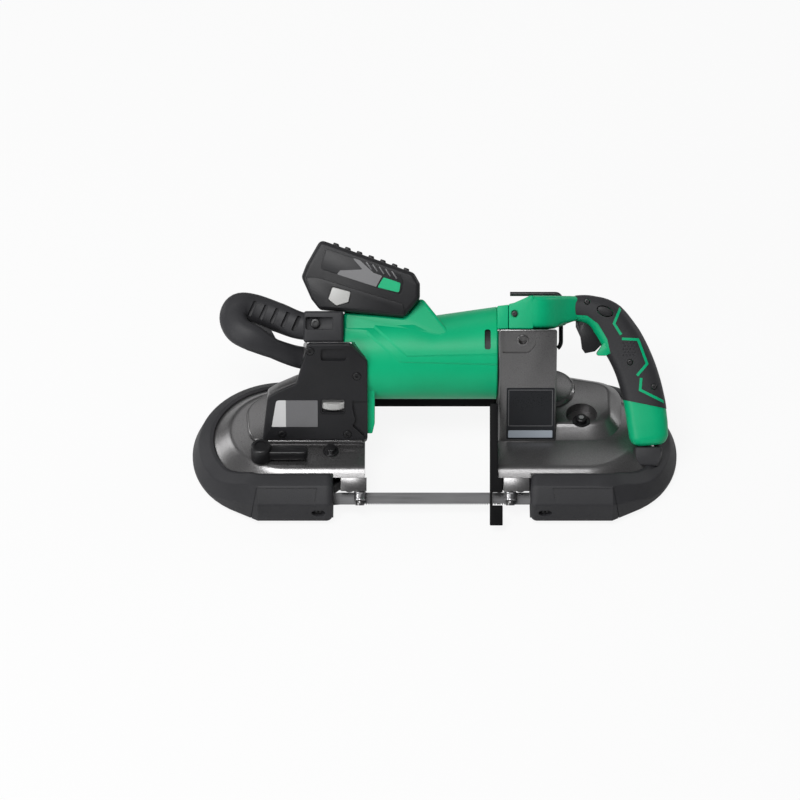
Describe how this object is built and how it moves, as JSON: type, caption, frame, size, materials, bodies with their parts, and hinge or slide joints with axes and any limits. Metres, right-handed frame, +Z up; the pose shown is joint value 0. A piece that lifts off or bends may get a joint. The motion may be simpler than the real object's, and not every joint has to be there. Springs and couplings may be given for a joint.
{
  "type": "portable band saw",
  "caption": "Battery portable band saw: endless blade on enclosed wheels, deep cut opening with roller guides, trigger D handle, front loop handle and slide-on pack.",
  "frame": {"origin": "middle of the overall box on the table plane, the saw lying on its wheel covers", "axes": "+X along the cutting run towards the drive wheel, +Y from the cutting run to the return run, +Z up along the wheel axes"},
  "size_m": [0.5146, 0.2629, 0.2234],
  "materials": {
    "cast_metal": "satin dark metallic coating",
    "black_rubber": "matte",
    "black_plastic": "fine texture",
    "green_plastic": "semi gloss",
    "steel": "machined",
    "blade_steel": "rolled",
    "dark_steel": "black oxide",
    "pale_plastic": "matte",
    "board": "satin",
    "cell_wrap": "satin",
    "tyre_rubber": "matte"
  },
  "bodies": {
    "frame": {"idler_housing": "cast_metal", "drive_housing": "cast_metal", "rear_beam": "cast_metal", "idler_wheel_cover": "black_plastic", "drive_wheel_cover": "black_plastic", "idler_bumper": "black_rubber", "drive_bumper": "black_rubber", "idler_guide_bracket": "dark_steel", "drive_guide_bracket": "dark_steel", "work_stop": "dark_steel", "saw_blade": "blade_steel", "tension_spring": "steel", "gear_bearings": "steel", "jack_carrier": "cast_metal", "motor_stator": "steel", "motor_bearings": "steel", "motor_end_plate": "black_plastic", "motor_front_plate": "cast_metal", "motor_housing": "green_plastic", "handle_front_shell": "green_plastic", "handle_rear_shell": "green_plastic", "grip_sleeve": "black_rubber", "trigger_pin": "steel", "switch_module": "black_plastic", "terminal_block": "black_plastic", "front_handle": "black_rubber", "control_cover": "black_plastic", "cover_screws": "steel", "controller_board": "board", "case_bolts": "steel"},
    "drive_train": {"drive_wheel": "cast_metal", "drive_tyre": "tyre_rubber", "output_gear": "steel", "output_shaft": "steel"},
    "jack_train": {"jack_pinion": "steel", "bevel_gear": "steel", "jack_shaft": "steel"},
    "rotor_train": {"motor_rotor": "steel", "motor_fan": "black_plastic", "bevel_pinion": "steel"},
    "idler_slide_group": {"idler_carriage": "cast_metal", "idler_axle": "steel"},
    "idler_wheel_group": {"idler_wheel": "cast_metal", "idler_tyre": "tyre_rubber", "idler_bearings": "steel"},
    "lever": {"tension_lever": "dark_steel"},
    "trigger_body": {"trigger": "black_plastic"},
    "lock_body": {"lock_button": "black_plastic"},
    "dial_body": {"speed_dial": "pale_plastic"},
    "hook_body": {"hanging_hook": "dark_steel"},
    "battery": {"battery_case": "black_plastic", "battery_cells": "cell_wrap"},
    "latch_front_body": {"battery_latch_front": "pale_plastic"},
    "latch_rear_body": {"battery_latch_rear": "pale_plastic"},
    "idler_front_roller_body": {"idler_front_roller": "steel"},
    "idler_rear_roller_body": {"idler_rear_roller": "steel"},
    "idler_back_roller_body": {"idler_back_roller": "steel"},
    "drive_front_roller_body": {"drive_front_roller": "steel"},
    "drive_rear_roller_body": {"drive_rear_roller": "steel"},
    "drive_back_roller_body": {"drive_back_roller": "steel"}
  },
  "joints": [
    {"name": "drive_spin", "type": "hinge", "parent": "frame", "child": "drive_train", "pos_m": [0.15934, -0.02134, 0.014], "axis": [0, 0, 1], "continuous": true},
    {"name": "jack_spin", "type": "hinge", "parent": "frame", "child": "jack_train", "pos_m": [0.0984, 0.02735, 0.06], "axis": [0, 0, 1], "continuous": true},
    {"name": "rotor_spin", "type": "hinge", "parent": "frame", "child": "rotor_train", "pos_m": [0, 0.02735, 0.11109], "axis": [1, 0, 0], "continuous": true},
    {"name": "tension_slide", "type": "slide", "parent": "frame", "child": "idler_slide_group", "axis": [1, 0, 0], "range_m": [0, 0.0018], "deforming": ["tension_spring"]},
    {"name": "idler_spin", "type": "hinge", "parent": "idler_slide_group", "child": "idler_wheel_group", "pos_m": [-0.15934, -0.02134, 0.014], "axis": [0, 0, 1], "continuous": true},
    {"name": "lever_turn", "type": "hinge", "parent": "frame", "child": "lever", "pos_m": [-0.183, -0.06534, 0.045], "axis": [0, 0, -1], "range_deg": [0, 150]},
    {"name": "trigger_pull", "type": "hinge", "parent": "frame", "child": "trigger_body", "pos_m": [0.154, 0.04927, 0.13302], "axis": [0, -0.7071, 0.7071], "range_deg": [0, 7], "stiffness_Nm_per_rad": 0.8, "springref_deg": -5.73},
    {"name": "lock_push", "type": "slide", "parent": "frame", "child": "lock_body", "axis": [0, 0.7071, -0.7071], "range_m": [0, 0.003], "stiffness_N_per_m": 400, "springref_m": -0.001},
    {"name": "dial_turn", "type": "hinge", "parent": "frame", "child": "dial_body", "pos_m": [-0.107, -0.01825, 0.08322], "axis": [0, 0.3256, 0.9455], "range_deg": [-120, 120]},
    {"name": "hook_swing", "type": "hinge", "parent": "frame", "child": "hook_body", "pos_m": [0.108, 0.08972, 0.13669], "axis": [1, 0, 0], "range_deg": [0, 90]},
    {"name": "battery_slide", "type": "slide", "parent": "frame", "child": "battery", "axis": [-0.9426, 0.236, 0.236], "range_m": [0, 0.09]},
    {"name": "latch_front_push", "type": "slide", "parent": "battery", "child": "latch_front_body", "axis": [0, 0.7071, -0.7071], "range_m": [0, 0.0025], "stiffness_N_per_m": 800, "springref_m": -0.001},
    {"name": "latch_rear_push", "type": "slide", "parent": "battery", "child": "latch_rear_body", "axis": [0, -0.7071, 0.7071], "range_m": [0, 0.0025], "stiffness_N_per_m": 800, "springref_m": -0.001},
    {"name": "idler_front_roller_spin", "type": "hinge", "parent": "frame", "child": "idler_front_roller_body", "pos_m": [-0.079, -0.10413, 0.02904], "axis": [0, 0.7071, 0.7071], "continuous": true},
    {"name": "idler_rear_roller_spin", "type": "hinge", "parent": "frame", "child": "idler_rear_roller_body", "pos_m": [-0.079, -0.0943, 0.01921], "axis": [0, 0.7071, 0.7071], "continuous": true},
    {"name": "idler_back_roller_spin", "type": "hinge", "parent": "frame", "child": "idler_back_roller_body", "pos_m": [-0.09, -0.09179, 0.03155], "axis": [0, 0.7071, -0.7071], "continuous": true},
    {"name": "drive_front_roller_spin", "type": "hinge", "parent": "frame", "child": "drive_front_roller_body", "pos_m": [0.079, -0.10413, 0.02904], "axis": [0, 0.7071, 0.7071], "continuous": true},
    {"name": "drive_rear_roller_spin", "type": "hinge", "parent": "frame", "child": "drive_rear_roller_body", "pos_m": [0.079, -0.0943, 0.01921], "axis": [0, 0.7071, 0.7071], "continuous": true},
    {"name": "drive_back_roller_spin", "type": "hinge", "parent": "frame", "child": "drive_back_roller_body", "pos_m": [0.09, -0.09179, 0.03155], "axis": [0, 0.7071, -0.7071], "continuous": true}
  ],
  "couplings": [
    {"joint": "jack_spin", "follows": "drive_spin", "ratio": -2.9},
    {"joint": "rotor_spin", "follows": "drive_spin", "ratio": 5.8},
    {"joint": "idler_spin", "follows": "drive_spin", "ratio": 1},
    {"joint": "tension_slide", "follows": "lever_turn", "m_per_rad": 0.00068755},
    {"joint": "idler_front_roller_spin", "follows": "drive_spin", "ratio": -12.308},
    {"joint": "idler_rear_roller_spin", "follows": "drive_spin", "ratio": 12.308},
    {"joint": "idler_back_roller_spin", "follows": "drive_spin", "ratio": -11.429},
    {"joint": "drive_front_roller_spin", "follows": "drive_spin", "ratio": -12.308},
    {"joint": "drive_rear_roller_spin", "follows": "drive_spin", "ratio": 12.308},
    {"joint": "drive_back_roller_spin", "follows": "drive_spin", "ratio": -11.429}
  ]
}
